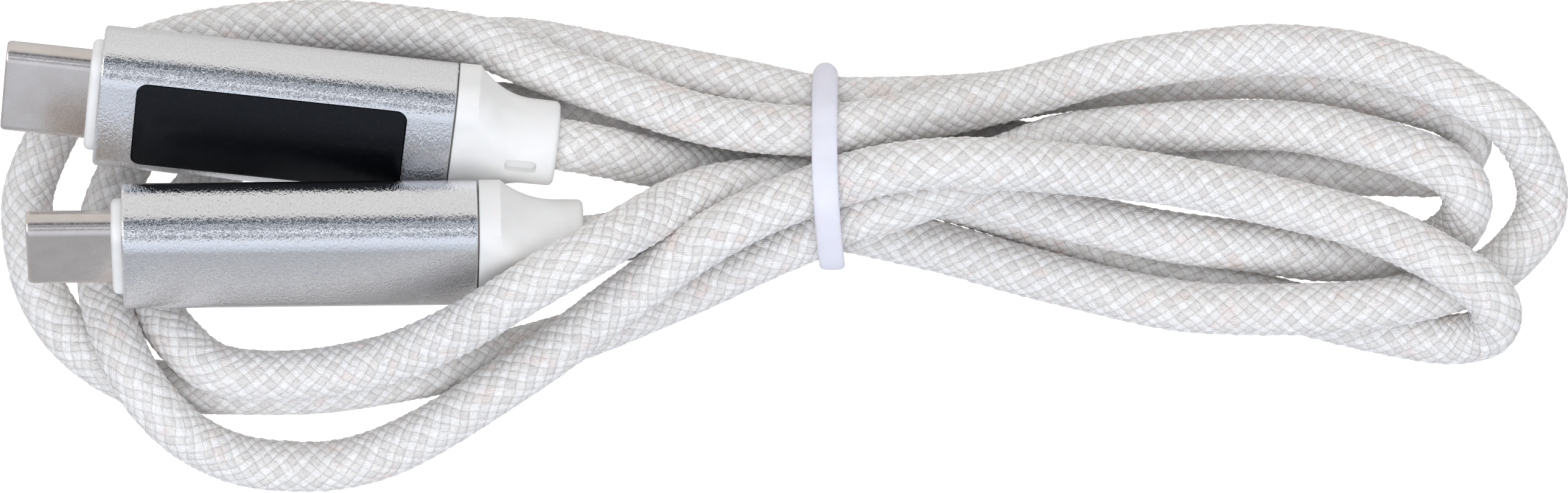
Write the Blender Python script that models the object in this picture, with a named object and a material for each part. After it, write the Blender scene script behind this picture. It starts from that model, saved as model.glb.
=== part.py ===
"""USB-C charging cable with a power meter in one plug, folded into a tied hank.

Everything is in metres, with +Z up. The hank lies along X with both plugs at -X, and the
origin is on the flat underside of the tie. Each plug is built in its own frame: X runs from
the front end of the housing back to the boot, Z is the broad face's normal, and an empty
places that frame in the hank.
"""

from math import cos, pi, radians, sin

import bmesh
import bpy
from mathutils import Matrix, Vector

MM = 0.001

# Plug housing: an extruded aluminium sleeve with an inward lip at its front end.
HOUSING_LENGTH = 28.3 * MM
HOUSING_WIDTH = 11.7 * MM
HOUSING_THICKNESS = 6.6 * MM
HOUSING_CORNER = 2.5 * MM
HOUSING_WALL = 0.8 * MM
LIP_LENGTH = 1.2 * MM
EDGE_BREAK = 0.15 * MM

# Where a piece sits in another, the air left all round it.
FIT = 0.1 * MM
LOOSE_FIT = 0.15 * MM

# USB-C plug.
SHELL_WIDTH = 8.25 * MM
SHELL_THICKNESS = 2.4 * MM
SHELL_WALL = 0.25 * MM
SHELL_REACH = 6.75 * MM
SHELL_ROOT = 3.3 * MM
TONGUE_SLOT = (6.8 * MM, 0.96 * MM)
CONTACTS = 12
CONTACT_PITCH = 0.5 * MM
CONTACT_WIDTH = 0.25 * MM
CONTACT_THICKNESS = 0.12 * MM
CONTACT_HEIGHT = 0.34 * MM
LATCH_THICKNESS = 0.15 * MM

COLLAR_REACH = 0.85 * MM
COLLAR_SIZE = (9.5 * MM, 4.3 * MM, 1.5 * MM)
COLLAR_FLANGE = (9.9 * MM, 4.8 * MM, 1.6 * MM)

# Window and display of the meter plug.
WINDOW_START = 3.0 * MM
WINDOW_LENGTH = 21.6 * MM
WINDOW_WIDTH = 8.2 * MM
WINDOW_CORNER = 0.9 * MM
WINDOW_FACE = 3.2 * MM
WINDOW_GLASS = 0.7 * MM

# Boot behind the housing.
BOOT_SKIRT = 1.7 * MM
BOOT_FLARE = 4.2 * MM
BOOT_NECK = 2.5 * MM
NECK_RADIUS = 3.4 * MM
BORE_RADIUS = 2.25 * MM
TENON_LENGTH = 1.8 * MM
FLARE_POWER = 2.25
SLOT_LENGTH = 2.55 * MM
SLOT_WIDTH = 1.15 * MM
SLOT_DEPTH = 0.6 * MM
SLOT_CORNER = 0.42 * MM

# Circuit boards.
BOARD_START = 3.9 * MM
BOARD_THICKNESS = 0.8 * MM
METER_BOARD = (21.1 * MM, 8.2 * MM)
PLAIN_BOARD = (8.8 * MM, 8.2 * MM)

# Cord and tie.
CORD_DIAMETER = 4.0 * MM
CORD_INSERTION = 3.0 * MM
CORD_STRAIGHT = 0.6 * MM
CORD_MOST_TURN = radians(14)
CORD_LONGEST_STEP = 5.0 * MM
TIE_WIDTH = 2.1 * MM
TIE_AIR = 0.2 * MM
TIE_UNDERSIDE_TO_CORD = 2.8 * MM
TIE_SKEW = radians(1.5)

# Placing of the two plugs: front end's centre in millimetres, then roll, pitch and yaw in degrees.
METER_PLACE = ((-58.1, 5.6, 10.42), (39.0, 4.2, -6.05))
PLAIN_PLACE = ((-56.2, -6.5, 10.6), (56.6, 3.7, 0.6))

# The cord's route between the boots, in millimetres, one list for each run.
CORD_RUNS = {
    "meter plug's lead, down to the tie": [
        (-17.9, 1.1, 6.9), (-14.9, 0.5, 5.5), (-10.5, -0.1, 3.7), (-6.7, -0.4, 3.0), (-0.9, -0.5, 2.8),
    ],
    "along the floor to the lower right fold": [
        (1.5, -0.8, 2.75), (5.3, -1.3, 2.15), (12.1, -3.0, 2.05), (19.5, -5.6, 2.05),
        (28.1, -8.7, 2.05), (46.6, -13.5, 2.05), (50.4, -14.05, 2.2), (52.2, -13.9, 2.8),
        (53.6, -13.5, 3.7), (54.2, -12.6, 4.8), (54.1, -11.5, 5.9), (53.4, -10.4, 6.8),
    ],
    "over the right side, back to the tie": [
        (50.3, -8.1, 7.6), (47.8, -6.7, 7.3), (43.3, -4.7, 6.9), (36.4, -2.95, 7.1), (29.0, -1.45, 8.2),
        (22.6, -0.6, 10.2), (12.8, 0.1, 13.6), (8.9, 0.1, 14.0), (5.2, -0.3, 13.3), (1.4, -1.2, 11.7),
    ],
    "down the left side": [
        (-0.9, -2.0, 11.0), (-5.7, -3.9, 10.7), (-9.6, -6.0, 10.2), (-17.4, -11.6, 7.1),
        (-21.85, -14.9, 6.2), (-26.55, -18.0, 5.4), (-31.25, -21.0, 3.6), (-35.95, -23.3, 2.3),
        (-40.1, -24.3, 2.05), (-43.8, -24.3, 2.05), (-47.25, -23.85, 2.7), (-50.85, -22.2, 4.3),
    ],
    "middle left fold": [
        (-53.4, -19.9, 5.9), (-55.65, -16.95, 6.2), (-57.0, -14.1, 5.3), (-58.0, -11.7, 3.8),
        (-58.6, -8.7, 2.4), (-58.7, -5.8, 2.05), (-58.1, -3.1, 2.05), (-55.0, 2.9, 2.05),
        (-52.8, 5.6, 2.05), (-49.9, 7.4, 2.05), (-45.7, 8.4, 2.05), (-34.3, 9.1, 2.05),
    ],
    "out along the upper left edge": [
        (-29.4, 9.8, 2.05), (-24.9, 10.0, 2.1), (-15.7, 8.3, 3.4), (-7.6, 6.7, 5.6), (-0.9, 5.3, 6.6),
    ],
    "beneath the upper right edge": [
        (1.4, 5.1, 6.6), (6.0, 5.1, 5.7), (10.0, 5.3, 4.9), (14.0, 5.6, 3.6), (18.5, 6.3, 2.5),
        (34.8, 7.5, 2.1), (39.2, 7.15, 2.4), (42.8, 6.5, 3.0), (46.0, 5.7, 3.8), (48.7, 5.0, 4.3),
    ],
    "inner right fold": [
        (50.5, 4.35, 4.6), (51.6, 3.5, 4.5), (52.0, 2.3, 4.1), (51.6, 0.9, 3.5), (50.6, -0.1, 2.9),
        (49.2, -0.5, 2.4), (47.6, -0.4, 2.15),
    ],
    "back along the floor to the tie": [
        (45.1, -0.4, 2.05), (28.1, 0.3, 2.05), (6.0, 2.8, 2.2), (1.5, 3.3, 2.8),
    ],
    "along the floor to the inner left fold": [
        (-0.9, 3.6, 2.8), (-11.6, 4.1, 2.2), (-21.6, 4.4, 2.05), (-31.4, 5.0, 2.05),
        (-40.7, 4.4, 2.05), (-43.9, 3.4, 2.05), (-46.9, 1.8, 2.05), (-52.4, -3.8, 2.05),
        (-54.0, -6.8, 2.05), (-54.6, -9.5, 2.3), (-53.8, -12.0, 3.4), (-52.0, -14.2, 4.9),
        (-49.4, -16.3, 5.9),
    ],
    "over the plain plug's boot, up to the tie": [
        (-45.2, -16.95, 6.0), (-41.0, -16.8, 6.0), (-36.7, -16.0, 6.6), (-34.0, -15.2, 7.4),
        (-29.3, -13.1, 9.9), (-24.8, -10.4, 12.6), (-20.4, -7.8, 13.8), (-18.3, -6.7, 13.3),
        (-11.5, -2.8, 8.9), (-8.6, -1.8, 7.7), (-4.7, -1.3, 7.0), (-0.9, -0.9, 6.85),
    ],
    "beneath the right side": [
        (1.4, -0.4, 6.7), (5.2, -1.0, 6.2), (13.0, -2.5, 6.15), (20.5, -4.25, 6.0),
        (27.9, -5.75, 5.3), (34.6, -6.55, 4.0), (41.0, -7.3, 2.5), (48.1, -6.7, 2.1),
    ],
    "middle right fold": [
        (50.0, -6.0, 2.5), (51.3, -4.8, 3.7), (51.8, -3.3, 5.1), (51.5, -1.8, 6.4), (50.5, -0.6, 7.1),
        (48.9, 0.3, 7.3), (40.0, 2.85, 5.2), (34.6, 3.3, 5.0), (24.2, 2.8, 6.0), (18.8, 2.0, 6.7),
        (15.8, 1.0, 7.8),
    ],
    "down to the tie": [
        (12.9, -0.2, 9.5), (9.9, -1.6, 10.2), (5.2, -3.4, 9.9), (1.4, -4.3, 8.5),
    ],
    "along the floor to the outer left fold": [
        (-0.9, -5.5, 7.2), (-4.2, -6.9, 6.1), (-12.6, -10.7, 2.9), (-17.5, -12.75, 2.1),
        (-22.0, -14.3, 2.05), (-39.2, -17.8, 2.05), (-48.5, -18.1, 2.05), (-54.1, -17.75, 2.05),
        (-56.7, -17.1, 2.05),
        (-60.55, -14.4, 2.05), (-62.45, -12.1, 2.05), (-64.05, -8.7, 2.05), (-64.7, -3.1, 2.05),
        (-64.0, -0.3, 2.05), (-60.7, 5.7, 2.1), (-58.1, 7.9, 2.5),
    ],
    "over the upper left edge": [
        (-54.7, 9.4, 3.3), (-50.2, 10.5, 4.7), (-44.6, 11.2, 5.1), (-39.1, 11.3, 5.3),
        (-27.7, 9.95, 6.1), (-23.5, 8.2, 6.1), (-16.1, 5.7, 6.7), (-9.4, 3.6, 8.0), (-0.9, 2.7, 10.0),
    ],
    "over the upper right edge": [
        (1.4, 2.9, 10.1), (9.9, 4.45, 9.0), (18.3, 6.55, 6.7), (23.2, 7.9, 6.1), (34.5, 9.3, 5.9),
        (38.9, 9.2, 6.0), (42.6, 8.8, 6.5), (49.0, 6.9, 8.2), (51.4, 5.6, 8.5), (54.0, 4.15, 7.9),
        (56.1, 2.3, 6.2), (57.5, -0.1, 4.2), (58.1, -2.6, 2.9),
    ],
    "outer right fold": [
        (57.5, -5.0, 2.2), (54.6, -8.2, 2.1), (52.6, -9.2, 2.6), (49.9, -10.05, 3.7), (46.3, -10.85, 5.3),
        (42.6, -11.35, 6.1), (33.5, -11.6, 6.0), (27.9, -11.2, 5.5), (16.9, -8.7, 3.8),
        (8.6, -6.4, 2.1), (1.5, -4.9, 2.8),
    ],
    "plain plug's lead": [
        (-0.9, -4.6, 2.8), (-8.2, -4.4, 3.1), (-11.3, -4.7, 4.3), (-14.6, -5.3, 6.3),
    ],
}

# Where the tie's corners turn round a strand, as (y, z) of the strand's centre in millimetres.
TIE_CORNERS = [(-4.9, 2.8), (3.6, 2.8), (5.4, 6.6), (2.9, 10.2), (-1.1, 11.7), (-2.1, 11.5), (-5.6, 7.2)]


def clear_scene():
    for item in list(bpy.data.objects):
        bpy.data.objects.remove(item, do_unlink=True)


def collection(name):
    group = bpy.data.collections.new(name)
    bpy.context.scene.collection.children.link(group)
    return group


def material(name, colour, roughness, metallic=0.0):
    made = bpy.data.materials.new(name)
    made.use_nodes = True
    shader = made.node_tree.nodes["Principled BSDF"]
    shader.inputs["Base Color"].default_value = (*colour, 1.0)
    shader.inputs["Roughness"].default_value = roughness
    shader.inputs["Metallic"].default_value = metallic
    return made


def rounded(width, height, corner, steps=4):
    """The (y, z) points of a rounded rectangle, anticlockwise. Equal steps give equal counts."""
    points = []
    for quarter, (side, top) in enumerate(((1, 1), (-1, 1), (-1, -1), (1, -1))):
        for step in range(steps + 1):
            angle = (quarter + step / steps) * pi / 2
            y = side * (width / 2 - corner) + corner * cos(angle)
            z = top * (height / 2 - corner) + corner * sin(angle)
            points.append((y, z))
    return points


def disc(radius, steps=4):
    return rounded(2 * radius, 2 * radius, radius * 0.999, steps)


def loft(name, rings, hollow=False):
    """A mesh through (x, outline) rings. A hollow loft joins its last ring to its first."""
    shape = bmesh.new()
    loops = [[shape.verts.new((x, y, z)) for y, z in outline] for x, outline in rings]
    pairs = list(zip(loops, loops[1:]))
    if hollow:
        pairs.append((loops[-1], loops[0]))
    for near, far in pairs:
        for index in range(len(near)):
            after = (index + 1) % len(near)
            shape.faces.new((near[index], near[after], far[after], far[index]))
    if not hollow:
        shape.faces.new(reversed(loops[0]))
        shape.faces.new(loops[-1])
    bmesh.ops.recalc_face_normals(shape, faces=shape.faces)
    mesh = bpy.data.meshes.new(name)
    shape.to_mesh(mesh)
    shape.free()
    return mesh


def plate(name, outline, thickness):
    """A flat outline in the XY plane, given a thickness and made a closed mesh."""
    curve = bpy.data.curves.new(name, "CURVE")
    curve.dimensions = "2D"
    curve.fill_mode = "BOTH"
    curve.extrude = thickness / 2
    spline = curve.splines.new("POLY")
    spline.points.add(len(outline) - 1)
    for point, (x, y) in zip(spline.points, outline):
        point.co = (x, y, 0.0, 1.0)
    spline.use_cyclic_u = True
    return welded_mesh(name, curve)


def welded_mesh(name, curve):
    """The closed mesh of a curve, with its caps joined to its sides."""
    holder = bpy.data.objects.new(name, curve)
    bpy.context.scene.collection.objects.link(holder)
    graph = bpy.context.evaluated_depsgraph_get()
    mesh = bpy.data.meshes.new_from_object(holder.evaluated_get(graph))
    bpy.data.objects.remove(holder, do_unlink=True)
    bpy.data.curves.remove(curve)
    shape = bmesh.new()
    shape.from_mesh(mesh)
    bmesh.ops.remove_doubles(shape, verts=shape.verts, dist=1e-7)
    bmesh.ops.recalc_face_normals(shape, faces=shape.faces)
    shape.to_mesh(mesh)
    shape.free()
    mesh.name = name
    return mesh


def block(name, size, centre):
    shape = bmesh.new()
    placed = Matrix.Translation(centre) @ Matrix.Diagonal((*size, 1.0))
    bmesh.ops.create_cube(shape, size=1.0, matrix=placed)
    mesh = bpy.data.meshes.new(name)
    shape.to_mesh(mesh)
    shape.free()
    return mesh


def moved(mesh, offset):
    mesh.transform(Matrix.Translation(offset))
    return mesh


def add(name, data, finish, group, parent=None, smooth=False):
    """The named object of a mesh or curve, in its collection and its plug's frame."""
    item = bpy.data.objects.new(name, data)
    group.objects.link(item)
    data.materials.append(finish)
    item.parent = parent
    if smooth and item.type == "MESH":
        data.shade_smooth()
        data.set_sharp_from_angle(angle=radians(35))
    return item


def cut(target, mesh, group):
    """Cuts a mesh, given in the target's own frame, out of the target."""
    cutter = bpy.data.objects.new("cut_" + mesh.name, mesh)
    group.objects.link(cutter)
    cutter.parent = target.parent
    cutter.hide_render = True
    cutter.display_type = "WIRE"
    modifier = target.modifiers.new("cut_" + mesh.name, "BOOLEAN")
    modifier.operation = "DIFFERENCE"
    modifier.solver = "EXACT"
    modifier.object = cutter


def round_wire(name, points, diameter):
    """A curve object's data: a round wire along the points, its ends closed."""
    curve = bpy.data.curves.new(name, "CURVE")
    curve.dimensions = "3D"
    curve.bevel_depth = diameter / 2
    curve.bevel_resolution = 2
    curve.use_fill_caps = True
    spline = curve.splines.new("POLY")
    spline.points.add(len(points) - 1)
    for point, place in zip(spline.points, points):
        point.co = (*place, 1.0)
    return curve


def plug_frame(name, place, group):
    (x, y, z), (roll, pitch, yaw) = place
    frame = bpy.data.objects.new(name, None)
    group.objects.link(frame)
    frame.location = Vector((x, y, z)) * MM
    frame.rotation_euler = (radians(roll), radians(pitch), radians(yaw))
    return frame


def housing_mesh(name):
    full = rounded(HOUSING_WIDTH, HOUSING_THICKNESS, HOUSING_CORNER)
    eased = rounded(
        HOUSING_WIDTH - 2 * EDGE_BREAK,
        HOUSING_THICKNESS - 2 * EDGE_BREAK,
        HOUSING_CORNER - EDGE_BREAK,
    )
    inside = rounded(
        HOUSING_WIDTH - 2 * HOUSING_WALL,
        HOUSING_THICKNESS - 2 * HOUSING_WALL,
        HOUSING_CORNER - HOUSING_WALL,
    )
    width, thickness, corner = COLLAR_SIZE
    mouth = rounded(width + 2 * FIT, thickness + 2 * FIT, corner + FIT)
    end = HOUSING_LENGTH
    rings = [
        (0.0, eased), (EDGE_BREAK, full), (end - EDGE_BREAK, full), (end, eased),
        (end, inside), (LIP_LENGTH, inside), (LIP_LENGTH, mouth), (0.0, mouth),
    ]
    return loft(name, rings, hollow=True)


def collar_mesh(name):
    width, thickness, corner = COLLAR_SIZE
    nose = rounded(width, thickness, corner)
    tip = rounded(width - 0.4 * MM, thickness - 0.4 * MM, corner - 0.2 * MM)
    flange = rounded(*COLLAR_FLANGE)
    hole = rounded(SHELL_WIDTH + 2 * FIT, SHELL_THICKNESS + 2 * FIT, SHELL_THICKNESS / 2 + 0.9 * FIT)
    back = LIP_LENGTH + FIT
    rings = [
        (-COLLAR_REACH, tip), (-COLLAR_REACH + 0.2 * MM, nose), (back, nose), (back, flange),
        (back + 1.2 * MM, flange), (back + 1.2 * MM, hole), (-COLLAR_REACH, hole),
    ]
    return loft(name, rings, hollow=True)


def shell_mesh(name):
    def oval(inset):
        width = SHELL_WIDTH - 2 * inset
        thickness = SHELL_THICKNESS - 2 * inset
        return rounded(width, thickness, thickness / 2 * 0.99)

    front = -COLLAR_REACH - SHELL_REACH
    lip = 0.1 * MM
    rings = [
        (front, oval(lip)), (front + lip, oval(0.0)), (SHELL_ROOT, oval(0.0)),
        (SHELL_ROOT, oval(SHELL_WALL)), (front, oval(SHELL_WALL)),
    ]
    return loft(name, rings, hollow=True)


def insulator_mesh(name):
    inset = SHELL_WALL + FIT
    thickness = SHELL_THICKNESS - 2 * inset
    outer = rounded(SHELL_WIDTH - 2 * inset, thickness, thickness / 2 * 0.99)
    slot = rounded(*TONGUE_SLOT, 0.2 * MM)
    front = -COLLAR_REACH - SHELL_REACH + 0.6 * MM
    back = SHELL_ROOT - 0.1 * MM
    rings = [(front, outer), (back, outer), (back, slot), (front, slot)]
    return loft(name, rings, hollow=True)


def contact_row_mesh(name, side):
    """One row of contacts, joined at the back by the strip that they are pressed from."""
    front = -COLLAR_REACH - SHELL_REACH + 1.2 * MM
    strip = (-COLLAR_REACH + 0.1 * MM, -COLLAR_REACH + 0.5 * MM)
    back = BOARD_START + 1.0 * MM
    first = -(CONTACTS - 1) / 2 * CONTACT_PITCH
    outline = []
    for index in range(CONTACTS):
        y = first + index * CONTACT_PITCH
        low, high = y - CONTACT_WIDTH / 2, y + CONTACT_WIDTH / 2
        outline += [(strip[0], low), (front, low), (front, high), (strip[0], high)]
    for index in reversed(range(CONTACTS)):
        y = first + index * CONTACT_PITCH
        low, high = y - CONTACT_WIDTH / 2, y + CONTACT_WIDTH / 2
        outline += [(strip[1], high), (back, high), (back, low), (strip[1], low)]
    mesh = plate(name, outline, CONTACT_THICKNESS)
    return moved(mesh, (0.0, 0.0, side * CONTACT_HEIGHT))


def latch_mesh(name):
    """The steel plate between the rows, with a spring arm down each side of the slot."""
    front = -COLLAR_REACH - SHELL_REACH + 1.4 * MM
    back = SHELL_ROOT
    outer = TONGUE_SLOT[0] / 2 - 0.1 * MM
    inner = outer - 0.35 * MM
    root = -COLLAR_REACH
    outline = [
        (front, inner - 0.1 * MM), (front, outer), (back, outer), (back, -outer), (front, -outer),
        (front, -inner + 0.1 * MM), (front + 0.6 * MM, -inner), (root, -inner), (root, inner),
        (front + 0.6 * MM, inner),
    ]
    return plate(name, outline, LATCH_THICKNESS)


def boot_section(along):
    """The boot's outline at a share of the flare: a rounded rectangle that becomes round."""
    left = (1.0 - along) ** FLARE_POWER
    half_width = NECK_RADIUS + (HOUSING_WIDTH / 2 - NECK_RADIUS) * left
    half_thickness = NECK_RADIUS + (HOUSING_THICKNESS / 2 - NECK_RADIUS) * left
    corner = HOUSING_CORNER + (0.98 * NECK_RADIUS - HOUSING_CORNER) * along
    return rounded(2 * half_width, 2 * half_thickness, min(corner, half_thickness * 0.999))


def boot_mesh(name):
    seat = HOUSING_LENGTH + FIT
    flare = seat + BOOT_SKIRT
    neck = flare + BOOT_FLARE
    end = neck + BOOT_NECK
    tenon = rounded(*COLLAR_FLANGE)
    room = rounded(8.4 * MM, 3.5 * MM, 1.2 * MM)
    rings = [(seat - TENON_LENGTH, tenon), (seat, tenon), (seat, boot_section(0.0))]
    steps = 8
    for step in range(steps + 1):
        rings.append((flare + BOOT_FLARE * step / steps, boot_section(step / steps)))
    rings += [
        (end - 0.3 * MM, disc(NECK_RADIUS)), (end, disc(NECK_RADIUS - 0.3 * MM)),
        (end, disc(BORE_RADIUS)), (flare + 1.2 * MM, disc(BORE_RADIUS)),
        (flare + 0.4 * MM, room), (seat - TENON_LENGTH, room),
    ]
    return loft(name, rings, hollow=True)


def slot_mesh(name, side):
    """The cutter of the oblong pocket on one broad side of the boot's neck."""
    centre = HOUSING_LENGTH + FIT + BOOT_SKIRT + BOOT_FLARE - 0.3 * MM
    outline = rounded(SLOT_LENGTH, SLOT_WIDTH, SLOT_CORNER)
    mesh = plate(name, outline, 2 * SLOT_DEPTH)
    return moved(mesh, (centre, 0.0, side * NECK_RADIUS))


def holder_mesh(name, back):
    """The inner plastic sleeve that keeps the board off the housing."""
    gap = HOUSING_WALL + LOOSE_FIT
    outer = rounded(HOUSING_WIDTH - 2 * gap, HOUSING_THICKNESS - 2 * gap, HOUSING_CORNER - gap)
    wall = gap + 0.45 * MM
    inner = rounded(HOUSING_WIDTH - 2 * wall, HOUSING_THICKNESS - 2 * wall, HOUSING_CORNER - wall)
    front = LIP_LENGTH + 1.6 * MM
    return loft(name, [(front, outer), (back, outer), (back, inner), (front, inner)], hollow=True)


def crimp_mesh(name):
    start = HOUSING_LENGTH + FIT + BOOT_SKIRT + 1.5 * MM
    end = boot_end() - CORD_INSERTION - 0.3 * MM
    outer = disc(BORE_RADIUS - 0.2 * MM)
    inner = disc(BORE_RADIUS - 0.5 * MM)
    return loft(name, [(start, outer), (end, outer), (end, inner), (start, inner)], hollow=True)


def boot_end():
    return HOUSING_LENGTH + FIT + BOOT_SKIRT + BOOT_FLARE + BOOT_NECK


def wire_points(index, start):
    """One of five wires, from its pad on the board into the crimp ring."""
    ring = BORE_RADIUS - 1.15 * MM
    angle = pi / 4 + index * pi / 2
    end = Vector((boot_end() - CORD_INSERTION - 0.1 * MM, ring * cos(angle), ring * sin(angle)))
    if index == 4:
        end.y = end.z = 0.0
    pad_y = (1.35 * MM, -1.35 * MM, -2.7 * MM, 2.7 * MM, 0.0)
    lift = BOARD_THICKNESS / 2 + 0.5 * MM
    pad = Vector((start, pad_y[index], lift))
    waist = HOUSING_LENGTH + BOOT_SKIRT - 0.6 * MM
    run = Vector((waist, pad.y * 0.7, lift * 0.8))
    gather = Vector((HOUSING_LENGTH + BOOT_SKIRT + 1.6 * MM, end.y, end.z))
    return [pad, pad + Vector((1.0 * MM, 0, 0)), run, (run + gather) / 2, gather, end]


def build_plug(prefix, frame, parts, cutters, finishes, has_meter):
    """All the pieces of one plug: the meter plug also has a window, a display and its board."""
    def place(name, mesh, finish, smooth=True):
        return add(prefix + "_" + name, mesh, finishes[finish], parts, frame, smooth)

    housing = place("housing", housing_mesh(prefix + "_housing"), "aluminium")
    place("front_collar", collar_mesh(prefix + "_front_collar"), "white_plastic")
    place("plug_shell", shell_mesh(prefix + "_plug_shell"), "steel")
    place("plug_insulator", insulator_mesh(prefix + "_plug_insulator"), "black_plastic")
    place("contacts_upper", contact_row_mesh(prefix + "_contacts_upper", 1), "gold", smooth=False)
    place("contacts_lower", contact_row_mesh(prefix + "_contacts_lower", -1), "gold", smooth=False)
    place("latch_plate", latch_mesh(prefix + "_latch_plate"), "spring_steel", smooth=False)

    boot = place("boot", boot_mesh(prefix + "_boot"), "white_rubber")
    for side, word in ((1, "upper"), (-1, "lower")):
        cut(boot, slot_mesh(prefix + "_slot_" + word, side), cutters)

    length, width = METER_BOARD if has_meter else PLAIN_BOARD
    centre_x = BOARD_START + length / 2
    board = block(prefix + "_circuit_board", (length, width, BOARD_THICKNESS), (centre_x, 0.0, 0.0))
    cut_width = (CONTACTS - 1) * CONTACT_PITCH + 0.8 * MM
    board_item = place("circuit_board", board, "board", smooth=False)
    notch = (2.4 * MM, cut_width, 2 * BOARD_THICKNESS)
    cut(board_item, block(prefix + "_notch", notch, (BOARD_START, 0.0, 0.0)), cutters)

    below = -BOARD_THICKNESS / 2 - 0.1 * MM
    above = -below
    if has_meter:
        size = (4.0 * MM, 4.0 * MM, 0.8 * MM)
        chip = block("chip", size, (centre_x - 4.0 * MM, 0.0, below - 0.4 * MM))
        place("controller_chip", chip, "black_plastic", smooth=False)
        size = (3.2 * MM, 1.6 * MM, 0.5 * MM)
        shunt = block("shunt", size, (centre_x + 4.0 * MM, 0.0, below - 0.25 * MM))
        place("shunt_resistor", shunt, "black_plastic", smooth=False)
        build_display(prefix, place, housing, cutters)
    else:
        size = (2.5 * MM, 2.5 * MM, 0.7 * MM)
        chip = block("chip", size, (centre_x + 1.5 * MM, 0.0, above + 0.35 * MM))
        place("marker_chip", chip, "black_plastic", smooth=False)

    holder_back = HOUSING_LENGTH - TENON_LENGTH - 0.2 * MM
    holder = place("inner_holder", holder_mesh(prefix + "_inner_holder", holder_back), "grey_plastic")
    if has_meter:
        opening = (WINDOW_LENGTH + 0.6 * MM, WINDOW_WIDTH - 0.2 * MM, HOUSING_THICKNESS / 2)
        centre = (WINDOW_START + WINDOW_LENGTH / 2, 0.0, 0.5 * MM + HOUSING_THICKNESS / 4)
        cut(holder, block(prefix + "_display_room", opening, centre), cutters)

    place("crimp_ring", crimp_mesh(prefix + "_crimp_ring"), "steel")
    wires = ("power", "ground", "data_plus", "data_minus", "control")
    wire_start = BOARD_START + length + 0.3 * MM
    for index, job in enumerate(wires):
        curve = round_wire("wire", wire_points(index, wire_start), 0.75 * MM)
        place("wire_" + job, curve, "wire_" + job)
    return boot


def build_display(prefix, place, housing, cutters):
    """The window in the housing's broad face, and the display behind it."""
    centre_x = WINDOW_START + WINDOW_LENGTH / 2
    outline = rounded(WINDOW_LENGTH, WINDOW_WIDTH, WINDOW_CORNER)
    opening = plate(prefix + "_window_opening", outline, 2.4 * MM)
    cut(housing, moved(opening, (centre_x, 0.0, HOUSING_THICKNESS / 2)), cutters)

    glass_outline = rounded(WINDOW_LENGTH - 2 * FIT, WINDOW_WIDTH - 2 * FIT, WINDOW_CORNER - FIT)
    glass = plate(prefix + "_window", glass_outline, WINDOW_GLASS)
    place("window", moved(glass, (centre_x, 0.0, WINDOW_FACE - WINDOW_GLASS / 2)), "window_glass")

    gasket_top = WINDOW_FACE - WINDOW_GLASS - 0.05 * MM
    gasket_height = 0.25 * MM
    outer = rounded(21.4 * MM, 7.6 * MM, 0.6 * MM)
    inner = rounded(20.0 * MM, 6.2 * MM, 0.4 * MM)
    rings = [(0.0, outer), (gasket_height, outer), (gasket_height, inner), (0.0, inner)]
    gasket = loft(prefix + "_window_gasket", rings, hollow=True)
    # The loft runs along X, so it is turned to stand on Z.
    bottom = gasket_top - gasket_height
    turned = Matrix(((0, 1, 0, centre_x), (0, 0, 1, 0), (1, 0, 0, bottom), (0, 0, 0, 1)))
    gasket.transform(turned)
    place("window_gasket", gasket, "black_rubber")

    display_top = gasket_top - gasket_height - 0.1 * MM
    height = 1.1 * MM
    size = (21.0 * MM, 7.2 * MM, height)
    display = block("display", size, (centre_x, 0.0, display_top - height / 2))
    place("display", display, "display", smooth=False)


def smooth_route(route, steps=12):
    """Points along a centripetal Catmull-Rom curve through the route."""
    first = 2 * route[0] - route[1]
    last = 2 * route[-1] - route[-2]
    knots = [first, *route, last]
    made = []
    for p0, p1, p2, p3 in zip(knots, knots[1:], knots[2:], knots[3:]):
        t1 = (p1 - p0).length ** 0.5
        t2 = t1 + (p2 - p1).length ** 0.5
        t3 = t2 + (p3 - p2).length ** 0.5
        for step in range(steps):
            t = t1 + (t2 - t1) * step / steps
            a = p0.lerp(p1, t / t1)
            b = p1.lerp(p2, (t - t1) / (t2 - t1))
            c = p2.lerp(p3, (t - t2) / (t3 - t2))
            d = a.lerp(b, t / t2)
            e = b.lerp(c, (t - t1) / (t3 - t1))
            made.append(d.lerp(e, (t - t1) / (t2 - t1)))
    made.append(route[-1])
    return made


def read_off(points):
    """Fewer points: a new one wherever the line has turned enough or run on long enough."""
    kept = [points[0]]
    heading = (points[1] - points[0]).normalized()
    for before, point in zip(points, points[1:-1]):
        turned = heading.angle((point - before).normalized())
        if turned > CORD_MOST_TURN or (point - kept[-1]).length > CORD_LONGEST_STEP:
            kept.append(point)
            heading = (point - before).normalized()
    kept.append(points[-1])
    return kept


def cord_route(meter, plain):
    """The whole route in metres: out of one boot along its axis, round the hank, into the other."""
    inside, outside = [], []
    for frame in (meter, plain):
        matrix = frame.matrix_world
        inside.append(matrix @ Vector((boot_end() - CORD_INSERTION, 0.0, 0.0)))
        outside.append(matrix @ Vector((boot_end() + CORD_STRAIGHT, 0.0, 0.0)))
    middle = [Vector(point) * MM for run in CORD_RUNS.values() for point in run]
    between = read_off(smooth_route([outside[0], *middle, outside[1]]))
    return [inside[0], *between, inside[1]]


def tie_outline(offset, steps=4):
    """The (y, z) points at a distance outside the polygon of the strands' centres."""
    corners = [Vector(corner) * MM for corner in TIE_CORNERS]
    outline = []
    for index, corner in enumerate(corners):
        after = corners[(index + 1) % len(corners)]
        into = corner - corners[index - 1]
        out = after - corner
        start = Vector((into.y, -into.x)).normalized()
        end = Vector((out.y, -out.x)).normalized()
        for step in range(steps + 1):
            direction = start.slerp(end, step / steps)
            outline.append(tuple(corner + direction * offset))
    return outline


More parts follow.
